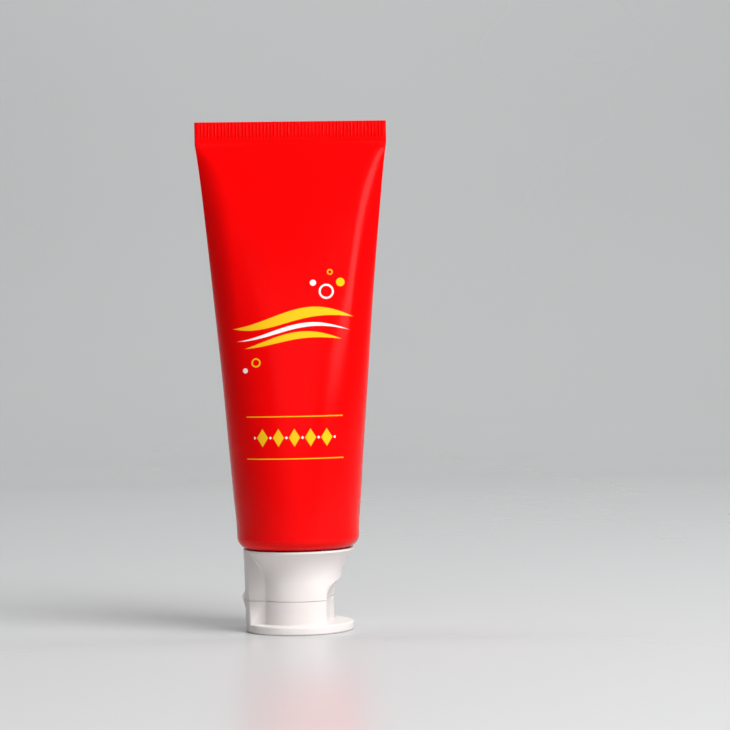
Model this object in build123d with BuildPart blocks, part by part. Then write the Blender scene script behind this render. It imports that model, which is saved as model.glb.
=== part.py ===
from build123d import *
import os
from math import acos, atan, cos, degrees, pi, sin

# A toothpaste tube standing on its closed flip-top cap. Millimetres, +Z up.
# The origin is on the tube's axis, in the plane that the lid stands on.
# The flat tail runs along X. The cap's hinge is on its -X side before cap_turn is applied.

# Sleeve, from the weld at the shoulder up to the trimmed tail
sleeve_diameter = 35.0
sleeve_length = 118.8
sleeve_wall = 0.5
seal_ribbed_height = 5.7
seal_plain_height = 1.0
seal_thickness = 1.1
rib_pitch = 1.0
rib_depth = 0.2
rib_groove_width = 0.7
tail_spread_power = 0.85
tail_depth_power = 0.8
taper_stations = (1.0, 0.94, 0.8, 0.6, 0.4, 0.22, 0.09, 0.0)
cavity_end = 0.03

# Moulded head: shoulder, weld lap inside the sleeve, neck and orifice tip
shoulder_radius = 3.5
shoulder_wall = 1.4
lap_height = 3.0
lap_wall = 0.9
lap_clearance = 0.1
neck_diameter = 13.0
orifice_diameter = 7.8
tip_wall = 0.6
tip_length = 2.9

# Paste that fills the tube
paste_clearance = 0.15
paste_depth_in_tip = 1.6

# Cap base: flared collar, deck and nozzle
base_height = 14.3
rim_diameter = 31.6
rim_edge = 0.55
rim_land = 1.0
waist_diameter = 24.0
flare_radius = 12.4
base_wall = 1.2
deck_thickness = 1.2
seat_gap = 0.15
skirt_height = 9.5
neck_clearance = 0.1
nozzle_height = 7.0
nozzle_diameter = 10.2
nozzle_bore = 8.2
nozzle_root_radius = 1.6
nozzle_lip_radius = 0.35
deck_step = 0.6
deck_clearance = 0.25

# Lid: standing disc, wall and seals
lid_height = 9.1
disc_diameter = 30.9
disc_thickness = 2.5
disc_edge_radius = 0.55
lid_wall = 1.1
lid_floor = 1.4
seam_gap = 0.12
seal_ring_height = 2.0
seal_ring_wall = 0.9
seal_ring_clearance = 0.6
plug_clearance = 0.6
plug_engagement = 0.8

# Plan outline that the base and the lid share
hinge_block_width = 16.6
front_face = 8.3
front_hollow_radius = 45.0
thumb_scoop_radius = 5.8
thumb_scoop_start = 0.2

# Film hinge
hinge_offset = 0.3
hinge_length = 8.0
hinge_nose_height = 0.9
hinge_nose_bulge = 0.2
hinge_edge_height = 0.25
hinge_lip_height = 3.5
hinge_tongue_height = 3.4
film_radius = 0.16
film_clearance = 0.06
hinge_root = 0.8

# How far the cap has been turned on the neck, in degrees
cap_turn = -7.0

# Sizes and levels that follow
sleeve_radius = sleeve_diameter / 2
rim_radius = rim_diameter / 2
waist_radius = waist_diameter / 2
disc_radius = disc_diameter / 2
neck_radius = neck_diameter / 2
orifice_radius = orifice_diameter / 2
nozzle_radius = nozzle_diameter / 2
seal_width = pi * sleeve_diameter / 2
seam_level = lid_height
deck_level = seam_level + deck_thickness
rim_level = seam_level + base_height
shoulder_level = rim_level + seat_gap
weld_level = shoulder_level + shoulder_radius
tail_level = weld_level + sleeve_length
seal_level = tail_level - seal_ribbed_height - seal_plain_height
neck_end = deck_level + seat_gap
tip_end = neck_end - tip_length
hinge_x = -(disc_radius + hinge_offset)
nose_x = hinge_x + film_clearance
root_x = hinge_x + hinge_offset + hinge_root
half_gap = seam_gap / 2


# The sleeve flattens from a circle at the weld (share 1) to the tail seal (share 0)
def taper_level(share):
    return seal_level - share * (seal_level - weld_level)


def half_width(share):
    return sleeve_radius + (seal_width / 2 - sleeve_radius) * (1 - share**tail_spread_power)


def half_depth(share):
    opening = sin(pi / 2 * share) ** tail_depth_power
    return seal_thickness / 2 + (sleeve_radius - seal_thickness / 2) * opening


# Outline of the cap at the seam: round waist, hinge block out to the disc's edge, hollowed front
def cap_outline(level, inset=0.0):
    with BuildSketch(Plane.XY.offset(level)) as outline:
        Circle(disc_radius)
        Rectangle(disc_radius, hinge_block_width, align=(Align.MAX, Align.CENTER), mode=Mode.INTERSECT)
        Circle(waist_radius)
        with Locations((front_face + front_hollow_radius, 0)):
            Circle(front_hollow_radius, mode=Mode.SUBTRACT)
        if inset:
            offset(amount=-inset, kind=Kind.INTERSECTION, mode=Mode.REPLACE)
    return outline.sketch


# Tube sleeve with its ribbed tail seal
with BuildPart() as sleeve:
    for share in taper_stations:
        with BuildSketch(Plane.XY.offset(taper_level(share))):
            Ellipse(half_width(share), half_depth(share))
    loft()
    with BuildSketch(Plane.XY.offset(seal_level)):
        Rectangle(seal_width, seal_thickness)
    extrude(amount=seal_plain_height)
    rib_count = int(seal_width / rib_pitch) - 1
    face = seal_thickness / 2
    groove = ((-rib_groove_width / 2, 0), (rib_groove_width / 2, 0), (0, rib_depth))
    with BuildSketch(Plane.XY.offset(seal_level + seal_plain_height)):
        Rectangle(seal_width, seal_thickness)
        with Locations((0, -face)), GridLocations(rib_pitch, 0, rib_count, 1):
            Polygon(*groove, align=None, mode=Mode.SUBTRACT)
        with Locations((0, face)), GridLocations(rib_pitch, 0, rib_count - 1, 1):
            Polygon(*groove, rotation=180, align=None, mode=Mode.SUBTRACT)
    extrude(amount=seal_ribbed_height)
    for share in taper_stations[:-1] + (cavity_end,):
        with BuildSketch(Plane.XY.offset(taper_level(share))):
            Ellipse(half_width(share) - sleeve_wall, half_depth(share) - sleeve_wall)
    loft(mode=Mode.SUBTRACT)
sleeve.part.label = "tube_sleeve"

# Moulded head, welded into the open end of the sleeve
lap_radius = sleeve_radius - sleeve_wall - lap_clearance
lap_inner_radius = lap_radius - lap_wall
tip_radius = orifice_radius + tip_wall
with BuildPart() as head:
    with BuildSketch(Plane.XZ):
        with BuildLine():
            Polyline(
                (orifice_radius, tip_end),
                (tip_radius, tip_end),
                (tip_radius, neck_end),
                (neck_radius, neck_end),
                (neck_radius, shoulder_level),
                (sleeve_radius - shoulder_radius, shoulder_level),
            )
            RadiusArc(
                (sleeve_radius - shoulder_radius, shoulder_level),
                (sleeve_radius, weld_level),
                -shoulder_radius,
            )
            Polyline(
                (sleeve_radius, weld_level),
                (lap_radius, weld_level),
                (lap_radius, weld_level + lap_height),
                (lap_inner_radius, weld_level + lap_height),
                (lap_inner_radius, shoulder_level + shoulder_radius),
                (lap_inner_radius - shoulder_radius + shoulder_wall, shoulder_level + shoulder_wall),
                (orifice_radius, shoulder_level + shoulder_wall),
                (orifice_radius, tip_end),
            )
        make_face()
    revolve(axis=Axis.Z)
head.part.label = "tube_head"

# Paste: it fills the sleeve and stands in the neck, short of the nozzle
paste_start = weld_level + lap_height + paste_clearance
paste_share = (seal_level - paste_start) / (seal_level - weld_level)
paste_inset = sleeve_wall + paste_clearance
paste_end = 2 * cavity_end
paste_floor = shoulder_level + shoulder_wall + paste_clearance
with BuildPart() as paste:
    for share in (paste_share,) + taper_stations[1:-2] + (paste_end,):
        with BuildSketch(Plane.XY.offset(taper_level(share))):
            Ellipse(half_width(share) - paste_inset, half_depth(share) - paste_inset)
    loft()
    with BuildSketch(Plane.XZ):
        with BuildLine():
            Polyline(
                (0, tip_end + paste_depth_in_tip),
                (orifice_radius - paste_clearance, tip_end + paste_depth_in_tip),
                (orifice_radius - paste_clearance, paste_floor),
                (lap_inner_radius - shoulder_radius, paste_floor),
                (lap_inner_radius - paste_clearance, weld_level + paste_clearance),
                (lap_inner_radius - paste_clearance, paste_start),
                (0, paste_start),
                close=True,
            )
        make_face()
    revolve(axis=Axis.Z)
paste.part.label = "paste_fill"

# Cap base: flared collar round the neck, hinge block, thumb scoop, deck and nozzle
flare_angle = degrees(acos((waist_radius + flare_radius - rim_radius) / flare_radius))
flare_top = rim_level - rim_edge
flare_start = flare_top - flare_radius * sin(flare_angle * pi / 180)
block_height = flare_top - seam_level - half_gap
block_draft = degrees(atan((rim_radius - disc_radius) / block_height))
scoop_start = seam_level + thumb_scoop_start
scoop_top = scoop_start + thumb_scoop_radius
core_angle = flare_angle / 2
core_start = flare_start + flare_radius * sin(core_angle * pi / 180)
core_radius = waist_radius + flare_radius * (1 - cos(core_angle * pi / 180)) - base_wall
bore_radius = nozzle_bore / 2
tip_socket_radius = tip_radius + neck_clearance
skirt_bore_radius = neck_radius + neck_clearance
mouth_level = seam_level - nozzle_height
with BuildPart() as cap_base:
    with BuildSketch(Plane.XZ):
        with BuildLine():
            Polyline(
                (0, seam_level + half_gap),
                (waist_radius, seam_level + half_gap),
                (waist_radius, flare_start),
            )
            JernArc((waist_radius, flare_start), (0, 1), flare_radius, -flare_angle)
            Polyline(
                (rim_radius, flare_top),
                (rim_radius, rim_level),
                (0, rim_level),
                (0, seam_level + half_gap),
            )
        make_face()
    revolve(axis=Axis.Z)
    with BuildSketch(Plane.XY.offset(seam_level + half_gap)):
        Circle(disc_radius)
        Rectangle(disc_radius, hinge_block_width, align=(Align.MAX, Align.CENTER), mode=Mode.INTERSECT)
    extrude(amount=block_height, taper=-block_draft)
    with BuildSketch(Plane.XZ):
        with BuildLine():
            Polyline(
                (front_face + front_hollow_radius, scoop_top),
                (front_face + front_hollow_radius, seam_level),
                (front_face, seam_level),
                (front_face, scoop_start),
            )
            JernArc((front_face, scoop_start), (0, 1), thumb_scoop_radius, -90)
            Line(
                (front_face + thumb_scoop_radius, scoop_top),
                (front_face + front_hollow_radius, scoop_top),
            )
        make_face()
    revolve(axis=Axis((front_face + front_hollow_radius, 0, 0), (0, 0, 1)), mode=Mode.SUBTRACT)
    with BuildSketch(Plane.XZ):
        with BuildLine():
            Polyline(
                (nose_x, seam_level + half_gap),
                (root_x, seam_level + half_gap),
                (root_x, seam_level + hinge_lip_height),
                (hinge_x - hinge_nose_bulge, seam_level + hinge_nose_height),
                (nose_x, seam_level + hinge_edge_height),
                close=True,
            )
        make_face()
    extrude(amount=hinge_length / 2, both=True)
    extrude(cap_outline(deck_level, base_wall), amount=base_height, mode=Mode.SUBTRACT)
    with BuildSketch(Plane.XZ):
        with BuildLine():
            Polyline(
                (0, core_start),
                (core_radius, core_start),
                (rim_radius - rim_land, rim_level),
                (0, rim_level),
                close=True,
            )
        make_face()
    revolve(axis=Axis.Z, mode=Mode.SUBTRACT)
    with BuildSketch(Plane.XY.offset(deck_level)):
        Circle(skirt_bore_radius + base_wall)
    extrude(amount=skirt_height)
    deck_inset = lid_wall + deck_clearance
    extrude(cap_outline(seam_level + half_gap, deck_inset), amount=-deck_step - half_gap)
    step_level = seam_level - deck_step
    with BuildSketch(Plane.XZ):
        with BuildLine():
            Polyline(
                (0, step_level),
                (0, mouth_level),
                (nozzle_radius - nozzle_lip_radius, mouth_level),
            )
            RadiusArc(
                (nozzle_radius - nozzle_lip_radius, mouth_level),
                (nozzle_radius, mouth_level + nozzle_lip_radius),
                -nozzle_lip_radius,
            )
            Line(
                (nozzle_radius, mouth_level + nozzle_lip_radius),
                (nozzle_radius, step_level - nozzle_root_radius),
            )
            RadiusArc(
                (nozzle_radius, step_level - nozzle_root_radius),
                (nozzle_radius + nozzle_root_radius, step_level),
                -nozzle_root_radius,
            )
            Line((nozzle_radius + nozzle_root_radius, step_level), (0, step_level))
        make_face()
    revolve(axis=Axis.Z)
    with BuildSketch(Plane.XY.offset(mouth_level)):
        Circle(bore_radius)
    extrude(amount=base_height, mode=Mode.SUBTRACT)
    with BuildSketch(Plane.XY.offset(tip_end - seat_gap)):
        Circle(tip_socket_radius)
    extrude(amount=base_height, mode=Mode.SUBTRACT)
    with BuildSketch(Plane.XY.offset(deck_level)):
        Circle(skirt_bore_radius)
    extrude(amount=base_height, mode=Mode.SUBTRACT)
    with Locations((hinge_x, 0, seam_level)):
        Cylinder(film_radius, hinge_length, rotation=(90, 0, 0))
cap_base.part = cap_base.part.rotate(Axis.Z, cap_turn)
cap_base.part.label = "cap_base"

# Flip lid: the disc that the tube stands on, a wall that follows the base, seals and hinge tongue
ring_inner_radius = nozzle_radius + seal_ring_clearance
plug_radius = bore_radius - plug_clearance
with BuildPart() as lid:
    with BuildSketch(Plane.XY):
        Circle(disc_radius)
    extrude(amount=disc_thickness)
    fillet(lid.edges(), disc_edge_radius)
    extrude(cap_outline(lid_floor), amount=seam_level - half_gap - lid_floor)
    with BuildSketch(Plane.XZ):
        with BuildLine():
            Polyline(
                (nose_x, seam_level - half_gap),
                (root_x, seam_level - half_gap),
                (root_x, seam_level - hinge_tongue_height),
                (nose_x, seam_level - hinge_edge_height),
                close=True,
            )
        make_face()
    extrude(amount=hinge_length / 2, both=True)
    extrude(cap_outline(lid_floor, lid_wall), amount=lid_height, mode=Mode.SUBTRACT)
    with BuildSketch(Plane.XY.offset(lid_floor)):
        Circle(ring_inner_radius + seal_ring_wall)
        Circle(ring_inner_radius, mode=Mode.SUBTRACT)
    extrude(amount=seal_ring_height)
    with BuildSketch(Plane.XY.offset(lid_floor)):
        Circle(plug_radius)
    extrude(amount=mouth_level + plug_engagement - lid_floor)
    with Locations((hinge_x, 0, seam_level)):
        Cylinder(
            film_radius + film_clearance,
            hinge_length + 2 * film_clearance,
            rotation=(90, 0, 0),
            mode=Mode.SUBTRACT,
        )
lid.part = lid.part.rotate(Axis.Z, cap_turn)
lid.part.label = "flip_lid"

os.makedirs("parts", exist_ok=True)
export_step(sleeve.part, "parts/tube_sleeve.step")
export_step(head.part, "parts/tube_head.step")
export_step(paste.part, "parts/paste_fill.step")
export_step(cap_base.part, "parts/cap_base.step")
export_step(lid.part, "parts/flip_lid.step")
for piece in (sleeve, head, paste, cap_base, lid):
    print(piece.part.label, round(piece.part.volume, 1), piece.part.is_valid)
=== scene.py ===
import bpy, bmesh
from math import cos, exp, pi, radians, sin
from mathutils import Matrix, Vector, noise


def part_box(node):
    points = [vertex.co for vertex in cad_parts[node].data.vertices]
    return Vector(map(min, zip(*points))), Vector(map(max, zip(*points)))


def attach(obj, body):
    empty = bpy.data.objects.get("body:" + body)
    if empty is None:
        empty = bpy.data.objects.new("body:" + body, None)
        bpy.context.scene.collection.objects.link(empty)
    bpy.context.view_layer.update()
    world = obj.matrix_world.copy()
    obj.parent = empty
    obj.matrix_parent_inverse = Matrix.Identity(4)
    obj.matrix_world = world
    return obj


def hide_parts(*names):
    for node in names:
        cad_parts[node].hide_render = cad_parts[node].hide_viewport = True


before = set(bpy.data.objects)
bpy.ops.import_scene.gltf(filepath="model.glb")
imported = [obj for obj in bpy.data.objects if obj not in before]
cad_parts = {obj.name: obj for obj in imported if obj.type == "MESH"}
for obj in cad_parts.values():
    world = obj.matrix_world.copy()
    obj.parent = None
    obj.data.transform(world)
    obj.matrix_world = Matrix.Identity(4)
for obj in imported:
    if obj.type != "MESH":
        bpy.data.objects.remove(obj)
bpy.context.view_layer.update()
mm = 0.001
scene = bpy.context.scene
scene.view_settings.view_transform = "Standard"
print("frame loaded:", ", ".join(sorted(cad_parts)))


# node helpers

def link(tree, source, target):
    if isinstance(source, (int, float, tuple)):
        target.default_value = source
    else:
        tree.links.new(source, target)


def maths(tree, operation, a, b=None, c=None):
    node = tree.nodes.new("ShaderNodeMath")
    node.operation = operation
    for value, socket in zip((a, b, c), node.inputs):
        if value is not None:
            link(tree, value, socket)
    return node.outputs[0]


def ramp(tree, value, fromLow, fromHigh, toLow=0.0, toHigh=1.0, smooth=False):
    node = tree.nodes.new("ShaderNodeMapRange")
    node.interpolation_type = "SMOOTHSTEP" if smooth else "LINEAR"
    limits = {"From Min": fromLow, "From Max": fromHigh, "To Min": toLow, "To Max": toHigh}
    for name, amount in limits.items():
        link(tree, amount, node.inputs[name])
    link(tree, value, node.inputs["Value"])
    return node.outputs["Result"]


# the Mix node's colour sockets are inputs 6 and 7 and output 2
def mixColor(tree, factor, a, b):
    node = tree.nodes.new("ShaderNodeMix")
    node.data_type = "RGBA"
    link(tree, factor, node.inputs[0])
    link(tree, a, node.inputs[6])
    link(tree, b, node.inputs[7])
    return node.outputs[2]


def objectVector(tree):
    return tree.nodes.new("ShaderNodeTexCoord").outputs["Object"]


# cloudy tone, fine grain and a height, shared by every finish
surface = {"cloudDetail": 3.0, "grainDetail": 2.0, "toneFrom": 0.3, "toneTo": 0.7}


def makeSurfaceBreakup():
    group = bpy.data.node_groups.new("surfaceBreakup", "ShaderNodeTree")
    group.interface.new_socket("Vector", in_out="INPUT", socket_type="NodeSocketVector")
    for name in ("Cloud Scale", "Grain Scale", "Grain Share"):
        group.interface.new_socket(name, in_out="INPUT", socket_type="NodeSocketFloat")
    for name in ("Tone", "Height"):
        group.interface.new_socket(name, in_out="OUTPUT", socket_type="NodeSocketFloat")
    start = group.nodes.new("NodeGroupInput")
    end = group.nodes.new("NodeGroupOutput")
    cloud = group.nodes.new("ShaderNodeTexNoise")
    cloud.inputs["Detail"].default_value = surface["cloudDetail"]
    grain = group.nodes.new("ShaderNodeTexNoise")
    grain.inputs["Detail"].default_value = surface["grainDetail"]
    for texture, scale in ((cloud, "Cloud Scale"), (grain, "Grain Scale")):
        group.links.new(start.outputs["Vector"], texture.inputs["Vector"])
        group.links.new(start.outputs[scale], texture.inputs["Scale"])
    tone = ramp(group, cloud.outputs["Fac"], surface["toneFrom"], surface["toneTo"])
    group.links.new(tone, end.inputs["Tone"])
    part = maths(group, "MULTIPLY", grain.outputs["Fac"], start.outputs["Grain Share"])
    group.links.new(maths(group, "ADD", cloud.outputs["Fac"], part), end.inputs["Height"])
    return group


surfaceBreakup = makeSurfaceBreakup()


def breakup(tree, vector, finish):
    node = tree.nodes.new("ShaderNodeGroup")
    node.node_tree = surfaceBreakup
    tree.links.new(vector, node.inputs["Vector"])
    node.inputs["Cloud Scale"].default_value = finish["cloudScale"]
    node.inputs["Grain Scale"].default_value = finish["grainScale"]
    node.inputs["Grain Share"].default_value = finish["grainShare"]
    return node.outputs["Tone"], node.outputs["Height"]


def newMaterial(name, finish):
    material = bpy.data.materials.new(name)
    material.use_nodes = True
    tree = material.node_tree
    shader = tree.nodes["Principled BSDF"]
    shader.inputs["Specular IOR Level"].default_value = finish["specular"]
    return material, tree, shader


def bump(tree, height, finish, shader):
    node = tree.nodes.new("ShaderNodeBump")
    node.inputs["Distance"].default_value = finish["bumpDistance"]
    node.inputs["Strength"].default_value = finish["bumpStrength"]
    tree.links.new(height, node.inputs["Height"])
    tree.links.new(node.outputs["Normal"], shader.inputs["Normal"])


# unprinted finish: two tones, a span of roughness and, where it is given, a fine relief
def makeFinish(name, finish):
    material, tree, shader = newMaterial(name, finish)
    tone, height = breakup(tree, objectVector(tree), finish)
    tree.links.new(mixColor(tree, tone, finish["light"], finish["dark"]), shader.inputs["Base Color"])
    tree.links.new(ramp(tree, tone, 0.0, 1.0, *finish["roughness"]), shader.inputs["Roughness"])
    if "bumpStrength" in finish:
        bump(tree, height, finish, shader)
    return material


# generic print on the front of the sleeve: ribbons, bubbles and a border, all in millimetres
artwork = {
    "yellow": (0.84, 0.49, 0.012, 1.0),
    "white": (0.86, 0.84, 0.82, 1.0),
    "edge": 0.09,  # softness of the ink's edge
    # ribbons: middle height, swing, wave length, start, half thickness, half length, ink
    "ribbons": (
        (88.5, 2.3, 47.0, -4.0, 1.55, 17.0, "yellow"),
        (84.9, 2.3, 47.0, -5.5, 0.6, 15.5, "white"),
        (82.2, 2.1, 47.0, -7.0, 1.0, 13.5, "yellow"),
    ),
    # bubbles: x, z, radius, ring width (0 is filled), ink
    "bubbles": (
        (9.6, 96.4, 2.1, 0.5, "white"),
        (13.6, 99.0, 1.2, 0.0, "yellow"),
        (5.9, 98.9, 0.85, 0.0, "white"),
        (10.7, 101.9, 0.8, 0.3, "yellow"),
        (-10.5, 76.6, 1.3, 0.4, "yellow"),
        (-13.6, 74.4, 0.7, 0.0, "white"),
    ),
    "rules": ((61.4, 13.5, 0.13), (49.6, 13.5, 0.13)),  # height, half length, half thickness
    "borderHeight": 55.5,
    "borderPitch": 4.5,
    "borderReach": 11.4,
    "diamond": 1.55,  # half width
    "diamondLean": 0.62,  # half width over half height
    "dot": 0.42,
}


def artworkMasks(tree, vector):
    split = tree.nodes.new("ShaderNodeSeparateXYZ")
    tree.links.new(vector, split.inputs[0])
    x = maths(tree, "DIVIDE", split.outputs["X"], mm)
    z = maths(tree, "DIVIDE", split.outputs["Z"], mm)
    aside = maths(tree, "ABSOLUTE", x)
    front = maths(tree, "LESS_THAN", split.outputs["Y"], 0.0)
    edge = artwork["edge"]
    ink = {"yellow": 0.0, "white": 0.0}

    def lay(color, inside):
        mask = ramp(tree, inside, -edge, edge, smooth=True)
        ink[color] = maths(tree, "MAXIMUM", ink[color], mask)

    for middle, swing, length, start, half, reach, color in artwork["ribbons"]:
        turn = maths(tree, "MULTIPLY", maths(tree, "SUBTRACT", x, start), 2 * pi / length)
        line = maths(tree, "MULTIPLY_ADD", maths(tree, "SINE", turn), swing, middle)
        across = maths(tree, "ABSOLUTE", maths(tree, "SUBTRACT", z, line))
        along = maths(tree, "POWER", maths(tree, "DIVIDE", aside, reach), 2.0)
        width = maths(tree, "MULTIPLY", maths(tree, "SUBTRACT", 1.0, along), half)
        lay(color, maths(tree, "SUBTRACT", width, across))
    for atX, atZ, radius, ring, color in artwork["bubbles"]:
        dx = maths(tree, "SUBTRACT", x, atX)
        dz = maths(tree, "SUBTRACT", z, atZ)
        square = maths(tree, "ADD", maths(tree, "MULTIPLY", dx, dx), maths(tree, "MULTIPLY", dz, dz))
        away = maths(tree, "SQRT", square)
        if ring:
            off = maths(tree, "ABSOLUTE", maths(tree, "SUBTRACT", away, radius - ring / 2))
            lay(color, maths(tree, "SUBTRACT", ring / 2, off))
        else:
            lay(color, maths(tree, "SUBTRACT", radius, away))
    for height, reach, half in artwork["rules"]:
        up = maths(tree, "ABSOLUTE", maths(tree, "SUBTRACT", z, height))
        side = maths(tree, "SUBTRACT", reach, aside)
        lay("yellow", maths(tree, "MINIMUM", maths(tree, "SUBTRACT", half, up), side))
    # border: a diamond in the middle of each cell and a dot between two
    halfPitch = artwork["borderPitch"] / 2
    cell = maths(tree, "PINGPONG", aside, halfPitch)
    up = maths(tree, "ABSOLUTE", maths(tree, "SUBTRACT", z, artwork["borderHeight"]))
    within = maths(tree, "SUBTRACT", artwork["borderReach"], aside)
    diamond = maths(tree, "ADD", cell, maths(tree, "MULTIPLY", up, artwork["diamondLean"]))
    lay("yellow", maths(tree, "MINIMUM", maths(tree, "SUBTRACT", artwork["diamond"], diamond), within))
    dot = maths(tree, "ADD", maths(tree, "SUBTRACT", halfPitch, cell), up)
    lay("white", maths(tree, "MINIMUM", maths(tree, "SUBTRACT", artwork["dot"], dot), within))
    return {name: maths(tree, "MULTIPLY", mask, front) for name, mask in ink.items()}


laminate = {
    "light": (0.83, 0.0014, 0.0018, 1.0),
    "dark": (0.75, 0.0010, 0.0014, 1.0),
    "roughness": (0.18, 0.22),
    "specular": 0.12,
    "cloudScale": 45.0,
    "grainScale": 1800.0,
    "grainShare": 0.25,
    "bumpDistance": 0.04 * mm,
    "bumpStrength": 0.12,
    "inkSmoothness": 0.06,
    "inkHeight": 0.15,
}


def makePrintedLaminate():
    material, tree, shader = newMaterial("redLaminatePrinted", laminate)
    vector = objectVector(tree)
    tone, height = breakup(tree, vector, laminate)
    color = mixColor(tree, tone, laminate["light"], laminate["dark"])
    rough = ramp(tree, tone, 0.0, 1.0, *laminate["roughness"])
    masks = artworkMasks(tree, vector)
    for name, mask in masks.items():
        color = mixColor(tree, mask, color, artwork[name])
    inked = maths(tree, "MAXIMUM", masks["yellow"], masks["white"])
    rough = maths(tree, "SUBTRACT", rough, maths(tree, "MULTIPLY", inked, laminate["inkSmoothness"]))
    height = maths(tree, "ADD", height, maths(tree, "MULTIPLY", inked, laminate["inkHeight"]))
    tree.links.new(color, shader.inputs["Base Color"])
    tree.links.new(rough, shader.inputs["Roughness"])
    bump(tree, height, laminate, shader)
    return material


capFinish = {
    "light": (0.77, 0.722, 0.704, 1.0),
    "dark": (0.74, 0.692, 0.674, 1.0),
    "roughness": (0.27, 0.36),
    "specular": 0.5,
    "cloudScale": 110.0,
    "grainScale": 3000.0,
    "grainShare": 0.35,
    "bumpDistance": 0.03 * mm,
    "bumpStrength": 0.2,
}
pasteFinish = {
    "light": (0.80, 0.86, 0.84, 1.0),
    "dark": (0.72, 0.82, 0.80, 1.0),
    "roughness": (0.18, 0.32),
    "specular": 0.5,
    "cloudScale": 350.0,
    "grainScale": 2200.0,
    "grainShare": 0.4,
    "bumpDistance": 0.2 * mm,
    "bumpStrength": 0.4,
}
redPrinted = makePrintedLaminate()
redPlain = makeFinish("redLaminatePlain", laminate)
capPlastic = makeFinish("whiteCapPlastic", capFinish)
pasteMatter = makeFinish("mintPaste", pasteFinish)
print("materials made")


# mesh helpers

def addMesh(name, mesh, material):
    piece = bpy.data.objects.new(name, mesh)
    scene.collection.objects.link(piece)
    mesh.materials.clear()
    mesh.materials.append(material)
    return piece


# smooth faces, with edges left crisp where they turn by more than the angle
def addShaded(name, made, material, sharpAngle=40.0):
    for face in made.faces:
        face.smooth = True
    mesh = bpy.data.meshes.new(name)
    made.to_mesh(mesh)
    made.free()
    mesh.set_sharp_from_angle(angle=radians(sharpAngle))
    return addMesh(name, mesh, material)


# closed body from rings of equal count, first and last ring closed with a centre point
def ringBody(name, rings, material):
    made = bmesh.new()
    rows = [[made.verts.new(p) for p in ring] for ring in rings]
    count = len(rows[0])
    for low, high in zip(rows, rows[1:]):
        for i in range(count):
            j = (i + 1) % count
            made.faces.new((low[i], low[j], high[j], high[i]))
    for row in (rows[0], rows[-1]):
        middle = made.verts.new(sum((v.co for v in row), Vector()) / count)
        for i in range(count):
            made.faces.new((row[i], row[(i + 1) % count], middle))
    bmesh.ops.recalc_face_normals(made, faces=made.faces)
    return addShaded(name, made, material)


# tube sleeve with its flat tail; a share is 1 at the weld and 0 at the seal
sleeveLow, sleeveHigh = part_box("tube_sleeve")
sleeve = {
    "radius": sleeveHigh.y,
    "sealHalfWidth": sleeveHigh.x,
    "weldLevel": sleeveLow.z,
    "tailLevel": sleeveHigh.z,
    "sealHeight": 6.7 * mm,
    "plainHeight": 1.25 * mm,
    "sealHalfThickness": 0.55 * mm,
    "ribbedHalfThickness": 0.4 * mm,
    "sealStart": 0.12 * mm,
    "stepBelow": 0.2 * mm,  # the seal thins at the foot of its ribs
    "stepAbove": 0.1 * mm,
    "sealSquareness": 7.0,
    "wall": 0.5 * mm,
    "wallEnd": 0.04,
    "spreadPower": 0.85,
    "depthPower": 0.8,
    "sealEase": 0.03,
    "weldEase": 0.12,
    "creaseAt": 0.82,
    "creaseSpread": 0.14,
    "creaseFall": 0.08,
    "creaseEnd": 0.75,
    "creaseFade": 1.5,
    "creaseRound": 0.55,
    "panelFlatness": 0.75,
    "tailSlant": 0.0085,
    "around": 192,
    "rows": 120,
    "dent": 0.16 * mm,
    "dentScale": 38.0,
    "dentSeed": (3.1, 0.7, 1.9),
    "dentInward": 0.6,
    "dentFromWeld": 5.0,
    "dentFromSeal": 9.0,
}
sleeve["sealLevel"] = sleeve["tailLevel"] - sleeve["sealHeight"]


# the sides leave the weld upright, so the shoulder runs on without a crease
def halfWidth(share):
    ease = sleeve["weldEase"]
    climb = (1 - share) / ease
    if climb < 1:
        share = 1 - ease * climb * climb * (2 - climb)
    flare = sleeve["sealHalfWidth"] - sleeve["radius"]
    return sleeve["radius"] + flare * (1 - share ** sleeve["spreadPower"])


def halfDepth(share):
    thin = sleeve["sealHalfThickness"]
    ease = min(1.0, share / sleeve["sealEase"])
    ease = ease * (2 - ease)
    return thin + (sleeve["radius"] - thin) * ease * sin(pi / 2 * share) ** sleeve["depthPower"]


def sleeveLevel(share):
    return sleeve["sealLevel"] - share * (sleeve["sealLevel"] - sleeve["weldLevel"])


# depth of the section at a part of its half width: an ellipse low down, flat panels that fold along
# a soft crease towards the tail
def sectionDepth(across, deep, share):
    across = min(1.0, abs(across))
    oval = deep * (1 - across * across) ** 0.5
    bend = sleeve["creaseAt"] + sleeve["creaseSpread"] * exp(-share / sleeve["creaseFall"])
    flat = sleeve["panelFlatness"]
    front = deep * (1 - (flat * across) ** 2) ** 0.5
    side = deep * (1 - (flat * bend) ** 2) ** 0.5 * (1 - across) / (1 - bend)
    soft = sleeve["creaseRound"] * deep
    blend = max(0.0, min(1.0, 0.5 + 0.5 * (side - front) / soft))
    folded = side * (1 - blend) + front * blend - soft * blend * (1 - blend)
    fold = max(0.0, 1 - share / sleeve["creaseEnd"]) ** sleeve["creaseFade"]
    return oval + (max(0.0, folded) - oval) * fold


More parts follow.
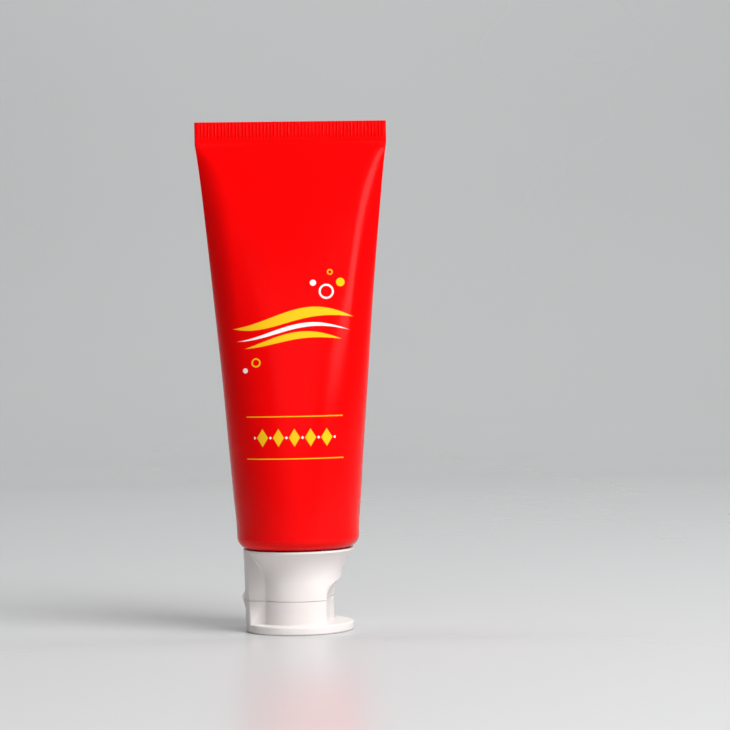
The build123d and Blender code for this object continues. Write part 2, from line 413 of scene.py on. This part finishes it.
def sleeveRing(share, inset):
    wide, deep = halfWidth(share) - inset, halfDepth(share) - inset
    level = sleeveLevel(share)
    # slow unevenness, gone at the weld and at the seal
    fade = min(1.0, (1 - share) * sleeve["dentFromWeld"]) * min(1.0, share * sleeve["dentFromSeal"])
    seed = Vector(sleeve["dentSeed"])
    ring = []
    for i in range(sleeve["around"]):
        turn = 2 * pi * i / sleeve["around"]
        depth = sectionDepth(cos(turn), deep, share)
        point = Vector((wide * cos(turn), depth if sin(turn) > 0 else -depth, level))
        uneven = noise.noise(point * sleeve["dentScale"] + seed) - sleeve["dentInward"]
        outward = Vector((cos(turn) / wide, sin(turn) / deep, 0)).normalized()
        ring.append(point + outward * (uneven * sleeve["dent"] * fade))
    return ring


# the tail was cut a little out of square
def sealRing(level, half, lean):
    ring = []
    for i in range(sleeve["around"]):
        turn = 2 * pi * i / sleeve["around"]
        x = sleeve["sealHalfWidth"] * cos(turn)
        y = max(-1.0, min(1.0, sin(turn) * sleeve["sealSquareness"])) * half
        ring.append(Vector((x, y, level - lean * x)))
    return ring


shares = [1 - i / sleeve["rows"] for i in range(sleeve["rows"])]
outer = [sleeveRing(share, 0.0) for share in shares]
plainTop = sleeve["sealLevel"] + sleeve["plainHeight"]
slant = sleeve["tailSlant"]
tailMiddle = sleeve["tailLevel"] - slant * sleeve["sealHalfWidth"]
for level, half, lean in ((sleeve["sealLevel"] + sleeve["sealStart"], "sealHalfThickness", 0.0),
                          (plainTop - sleeve["stepBelow"], "sealHalfThickness", slant),
                          (plainTop + sleeve["stepAbove"], "ribbedHalfThickness", slant),
                          (tailMiddle, "ribbedHalfThickness", slant)):
    outer.append(sealRing(level, sleeve[half], lean))
inner = [sleeveRing(share, sleeve["wall"]) for share in shares if share > sleeve["wallEnd"]]
sleeveSkin = ringBody("sleeveSkin", list(reversed(inner)) + outer, redPrinted)
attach(sleeveSkin, "tube")
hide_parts("tube_sleeve")
print("sleeve skin:", len(sleeveSkin.data.polygons), "faces")


# ribs pressed into the tail seal, both faces
tailRib = {
    "count": 54,
    "pitch": 1.0 * mm,
    "length": 5.2 * mm,
    "radius": 0.34 * mm,
    "proud": 0.145 * mm,
    "topGap": 0.02 * mm,
    "sides": 12,
    "rings": 9,
    "taperShare": 0.2,  # part of the length that is drawn in at the foot
    "taperRadius": 0.62,
}


def makeRibTree():
    tree = bpy.data.node_groups.new("tailRibTree", "GeometryNodeTree")
    tree.interface.new_socket("Geometry", in_out="INPUT", socket_type="NodeSocketGeometry")
    for name in ("Count", "Sides", "Rings"):
        tree.interface.new_socket(name, in_out="INPUT", socket_type="NodeSocketInt")
    for name in ("Pitch", "Length", "Radius", "Depth", "Base Level", "Slant", "Taper Share", "Taper Radius"):
        tree.interface.new_socket(name, in_out="INPUT", socket_type="NodeSocketFloat")
    tree.interface.new_socket("Finish", in_out="INPUT", socket_type="NodeSocketMaterial")
    tree.interface.new_socket("Geometry", in_out="OUTPUT", socket_type="NodeSocketGeometry")
    start = tree.nodes.new("NodeGroupInput").outputs
    end = tree.nodes.new("NodeGroupOutput")
    make = tree.nodes.new
    # a line of points on each face, the back one with a rib less, so its ribs stand between the others
    join = make("GeometryNodeJoinGeometry")
    fall = maths(tree, "MULTIPLY", maths(tree, "MULTIPLY", start["Slant"], start["Pitch"]), -1.0)
    for side, fewer in ((-1.0, 1.0), (1.0, 2.0)):
        less = maths(tree, "SUBTRACT", start["Count"], fewer)
        first = maths(tree, "MULTIPLY", maths(tree, "MULTIPLY", less, start["Pitch"]), -0.5)
        place = make("ShaderNodeCombineXYZ")
        tree.links.new(first, place.inputs["X"])
        tree.links.new(maths(tree, "MULTIPLY", start["Depth"], side), place.inputs["Y"])
        drop = maths(tree, "MULTIPLY", start["Slant"], first)
        tree.links.new(maths(tree, "SUBTRACT", start["Base Level"], drop), place.inputs["Z"])
        move = make("ShaderNodeCombineXYZ")
        tree.links.new(start["Pitch"], move.inputs["X"])
        tree.links.new(fall, move.inputs["Z"])
        line = make("GeometryNodeMeshLine")
        tree.links.new(maths(tree, "ADD", less, 1.0), line.inputs["Count"])
        tree.links.new(place.outputs[0], line.inputs["Start Location"])
        tree.links.new(move.outputs[0], line.inputs["Offset"])
        tree.links.new(line.outputs["Mesh"], join.inputs["Geometry"])
    # one rib, narrower at its foot
    top = make("ShaderNodeCombineXYZ")
    tree.links.new(start["Length"], top.inputs["Z"])
    spine = make("GeometryNodeCurvePrimitiveLine")
    tree.links.new(top.outputs[0], spine.inputs["End"])
    resample = make("GeometryNodeResampleCurve")
    tree.links.new(start["Rings"], resample.inputs["Count"])
    tree.links.new(spine.outputs["Curve"], resample.inputs["Curve"])
    along = make("GeometryNodeSplineParameter").outputs["Factor"]
    swell = make("GeometryNodeSetCurveRadius")
    tree.links.new(resample.outputs["Curve"], swell.inputs["Curve"])
    taper = ramp(tree, along, 0.0, start["Taper Share"], start["Taper Radius"], 1.0, smooth=True)
    tree.links.new(taper, swell.inputs["Radius"])
    profile = make("GeometryNodeCurvePrimitiveCircle")
    tree.links.new(start["Sides"], profile.inputs["Resolution"])
    tree.links.new(start["Radius"], profile.inputs["Radius"])
    rib = make("GeometryNodeCurveToMesh")
    tree.links.new(swell.outputs["Curve"], rib.inputs["Curve"])
    tree.links.new(profile.outputs["Curve"], rib.inputs["Profile Curve"])
    rib.inputs["Fill Caps"].default_value = True
    if "Scale" in rib.inputs:  # where the node doesn't read the curve's radius by itself
        radius = make("GeometryNodeInputRadius")
        tree.links.new(radius.outputs[0], rib.inputs["Scale"])
    spread = make("GeometryNodeInstanceOnPoints")
    tree.links.new(join.outputs[0], spread.inputs["Points"])
    tree.links.new(rib.outputs["Mesh"], spread.inputs["Instance"])
    real = make("GeometryNodeRealizeInstances")
    tree.links.new(spread.outputs[0], real.inputs[0])
    soft = make("GeometryNodeSetShadeSmooth")
    tree.links.new(real.outputs[0], soft.inputs["Geometry"])
    coat = make("GeometryNodeSetMaterial")
    tree.links.new(soft.outputs[0], coat.inputs["Geometry"])
    tree.links.new(start["Finish"], coat.inputs["Material"])
    tree.links.new(coat.outputs[0], end.inputs[0])
    return tree


def growTree(name, tree, values):
    holder = bpy.data.objects.new(name + "Grower", bpy.data.meshes.new(name + "Grower"))
    scene.collection.objects.link(holder)
    grower = holder.modifiers.new("grow", "NODES")
    grower.node_group = tree
    sockets = {s.name: s.identifier for s in tree.interface.items_tree if s.in_out == "INPUT"}
    for key, value in values.items():
        grower[sockets[key]] = value
    ready = holder.evaluated_get(bpy.context.evaluated_depsgraph_get())
    mesh = bpy.data.meshes.new_from_object(ready)
    holder.modifiers.remove(grower)
    bpy.data.objects.remove(holder)
    mesh.name = name
    return addMesh(name, mesh, values["Finish"])


tailRibs = growTree("tailRibs", makeRibTree(), {
    "Count": tailRib["count"],
    "Sides": tailRib["sides"],
    "Rings": tailRib["rings"],
    "Pitch": tailRib["pitch"],
    "Length": tailRib["length"],
    "Radius": tailRib["radius"],
    "Depth": sleeve["ribbedHalfThickness"] + tailRib["proud"] - tailRib["radius"],
    "Base Level": tailMiddle - tailRib["length"] - tailRib["topGap"],
    "Slant": slant,
    "Taper Share": tailRib["taperShare"],
    "Taper Radius": tailRib["taperRadius"],
    "Finish": redPlain,
})
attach(tailRibs, "tube")
print("tail ribs:", len(tailRibs.data.polygons), "faces")


# moulded pieces: the solid's own shape, its triangles merged into flat and smooth faces
moulded = {
    "tube_head": ("headShell", "tube", "red_head", redPlain),
    "cap_base": ("capCollar", "cap", "white_cap", capPlastic),
    "flip_lid": ("lidShell", "lid", "white_cap", capPlastic),
}
moulding = {"weldDistance": 0.002 * mm, "flatAngle": 0.4, "sharpAngle": 32.0}


def mouldedCopy(node, name, material):
    made = bmesh.new()
    made.from_mesh(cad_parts[node].data)
    bmesh.ops.remove_doubles(made, verts=made.verts, dist=moulding["weldDistance"])
    flat = radians(moulding["flatAngle"])
    bmesh.ops.dissolve_limit(made, angle_limit=flat, verts=made.verts, edges=made.edges)
    return addShaded(name, made, material, moulding["sharpAngle"])


for node, (name, body, finish, material) in moulded.items():
    piece = mouldedCopy(node, name, material)
    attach(piece, body)
    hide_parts(node)
    print("moulded", name, len(piece.data.polygons), "faces")


# paste: fills the sleeve, necks down through the head and ends in a soft dome inside the nozzle
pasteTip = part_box("paste_fill")[0].z
paste = {
    "inset": 0.65 * mm,
    "tipRadius": 3.75 * mm,
    "dome": 1.3 * mm,
    "domeRings": 9,
    # level and radius
    "shoulder": (
        (25.1 * mm, 3.75 * mm),
        (25.1 * mm, 12.5 * mm),
        (27.2 * mm, 15.85 * mm),
        (30.1 * mm, 15.85 * mm),
    ),
    "startShare": 0.966,
    "endShare": 0.06,
    "fillRings": 48,
    "swirl": 0.18 * mm,
    "waves": ((1.0, 2, 5.0), (0.5, 3, -2.0)),  # height, lobes, twist
}


def pasteRings():
    turns = [2 * pi * k / sleeve["around"] for k in range(sleeve["around"])]
    rings = []
    for i in range(1, paste["domeRings"] + 1):
        lift = i / paste["domeRings"]
        radius = paste["tipRadius"] * sin(pi / 2 * lift)
        level = pasteTip + paste["dome"] * (1 - cos(pi / 2 * lift))
        ring = []
        for turn in turns:
            wave = sum(tall * sin(lobes * turn + twist * lift) for tall, lobes, twist in paste["waves"])
            rise = paste["swirl"] * max(0.0, wave * sin(pi * lift))
            ring.append(Vector((radius * cos(turn), radius * sin(turn), level + rise)))
        rings.append(ring)
    for level, radius in paste["shoulder"]:
        rings.append([Vector((radius * cos(turn), radius * sin(turn), level)) for turn in turns])
    for i in range(paste["fillRings"] + 1):
        share = paste["startShare"] + (paste["endShare"] - paste["startShare"]) * i / paste["fillRings"]
        rings.append(sleeveRing(share, paste["inset"]))
    return rings


pasteFill = ringBody("pasteFill", pasteRings(), pasteMatter)
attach(pasteFill, "tube")
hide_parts("paste_fill")
print("paste:", len(pasteFill.data.polygons), "faces")


# stage: pale table with a soft sheen, sweeping up behind
stage = {
    "light": (0.54, 0.544, 0.548, 1.0),
    "dark": (0.5238, 0.52768, 0.53156, 1.0),
    "roughness": (0.24, 0.3),
    "specular": 0.3,
    "cloudScale": 2.0,
    "grainScale": 30.0,
    "grainShare": 0.2,
    "width": 6.0,
    "front": -5.0,
    "back": 1.6,
    "rise": 3.0,
    "bend": 0.8,
    "bendSteps": 12,
}


def makeStage():
    half = stage["width"] / 2
    bend = stage["bend"]
    bendStart = stage["back"] - bend
    path = [(stage["front"], 0.0), (bendStart, 0.0)]
    for i in range(1, stage["bendSteps"] + 1):
        turn = pi / 2 * i / stage["bendSteps"]
        path.append((bendStart + bend * sin(turn), bend * (1 - cos(turn))))
    path.append((stage["back"], stage["rise"]))
    made = bmesh.new()
    rows = [[made.verts.new((side * half, y, z)) for side in (-1, 1)] for y, z in path]
    for low, high in zip(rows, rows[1:]):
        made.faces.new((low[0], low[1], high[1], high[0]))
    return addShaded("table", made, makeFinish("paleTable", stage))


makeStage()


# soft studio light: a broad key from the right front, a strip at the right for the sheen and a low fill
lamps = {
    "key": {"azimuth": 46.0, "elevation": 47.0, "distance": 1.05, "size": (0.6, 0.6), "watts": 12.0,
            "sheen": False},
    "strip": {"azimuth": 51.0, "elevation": 25.0, "distance": 0.85, "size": (0.3, 0.55), "watts": 2.5,
              "sheen": True},
    "fill": {"azimuth": 0.0, "elevation": 12.0, "distance": 1.2, "size": (1.1, 0.44), "watts": 4.4,
             "sheen": False},
}
target = Vector((0.0, 0.0, 80.0 * mm))  # where these lamps point
# washes on the sweep behind and on the floor in front
washes = {
    "backWash": {"at": (0.0, 0.35, 1.5), "to": (0.0, 1.5, 0.3), "size": (2.2, 0.5), "watts": 20.0},
    "frontWash": {"at": (0.0, -1.5, 1.7), "to": (0.0, -3.3, 0.0), "size": (2.2, 0.5), "watts": 22.0},
}
# the room lights the tube faintly, and is pale where the camera sees it
room = {"color": (0.94, 0.97, 1.0, 1.0), "ambient": 0.03, "seen": 0.62, "mirrored": 0.1}


def addLamp(name, at, to, size, watts, sheen=True):
    light = bpy.data.lights.new(name, "AREA")
    light.shape = "RECTANGLE"
    light.size, light.size_y = size
    light.energy = watts
    holder = bpy.data.objects.new(name, light)
    holder.location = at
    holder.rotation_euler = (to - at).to_track_quat("-Z", "Y").to_euler()
    holder.visible_glossy = sheen
    scene.collection.objects.link(holder)


for name, lamp in lamps.items():
    side, up = radians(lamp["azimuth"]), radians(lamp["elevation"])
    away = Vector((sin(side) * cos(up), -cos(side) * cos(up), sin(up)))
    addLamp(name, target + away * lamp["distance"], target, lamp["size"], lamp["watts"], lamp["sheen"])
for name, lamp in washes.items():
    addLamp(name, Vector(lamp["at"]), Vector(lamp["to"]), lamp["size"], lamp["watts"])

world = bpy.data.worlds.new("studio")
world.use_nodes = True
studio = world.node_tree
paper = studio.nodes["Background"]
paper.inputs["Color"].default_value = room["color"]
rays = studio.nodes.new("ShaderNodeLightPath").outputs
mirrored = maths(studio, "MULTIPLY", rays["Is Glossy Ray"], room["mirrored"])
seen = maths(studio, "MAXIMUM", rays["Is Camera Ray"], rays["Is Transmission Ray"])
seen = maths(studio, "MAXIMUM", seen, mirrored)
level = ramp(studio, seen, 0.0, 1.0, room["ambient"], room["seen"])
studio.links.new(level, paper.inputs["Strength"])
scene.world = world

# camera as in the photograph: level, a little right of the tube, turned slightly on its own axis
view = {
    "focalPixels": 2180.0,
    "frame": 730.0,
    "sensor": 36.0,
    "clipStart": 0.01,
    "at": (20.1 * mm, -625.0 * mm, 75.4 * mm),
    "roll": -1.15,
}
camera = bpy.data.objects.new("camera", bpy.data.cameras.new("camera"))
camera.data.sensor_width = view["sensor"]
camera.data.lens = view["sensor"] * view["focalPixels"] / view["frame"]
camera.data.clip_start = view["clipStart"]
camera.matrix_world = (Matrix.Translation(view["at"]) @ Matrix.Rotation(pi / 2, 4, "X")
                       @ Matrix.Rotation(radians(view["roll"]), 4, "Z"))
scene.collection.objects.link(camera)
scene.camera = camera
print("stage, light and camera set")
